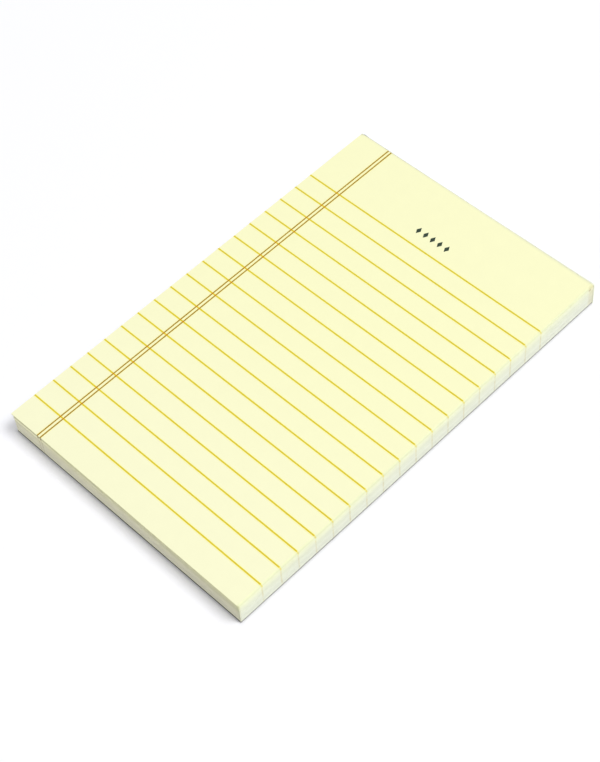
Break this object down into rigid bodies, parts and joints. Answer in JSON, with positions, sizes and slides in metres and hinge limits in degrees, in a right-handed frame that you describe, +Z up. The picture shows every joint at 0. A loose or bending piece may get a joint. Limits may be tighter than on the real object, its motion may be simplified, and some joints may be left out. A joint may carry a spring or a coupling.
{
  "type": "legal pad",
  "caption": "Small glued writing pad: a block of pale yellow ruled sheets with a double margin line, on a stiff grey backing board.",
  "frame": {"origin": "centre of the pad's underside: midway across the stack from the left edge of the top sheet to the furthest right edge, and midway from the foot of the sheets to the outside of the glue film", "axes": "+X across the sheets, away from the margin lines; +Y towards the glued head; +Z up, out of the top sheet"},
  "size_m": [0.0896, 0.14, 0.0082],
  "materials": {
    "grey_board": "matte",
    "yellow_paper": "matte",
    "rule_ink": "matte",
    "margin_ink": "matte",
    "heading_ink": "matte",
    "padding_glue": "satin"
  },
  "bodies": {
    "root": {"backing_board": "grey_board", "page_block": "yellow_paper", "ruled_lines": "rule_ink", "margin_lines": "margin_ink", "heading_ornament": "heading_ink", "head_glue": "padding_glue"}
  },
  "joints": []
}
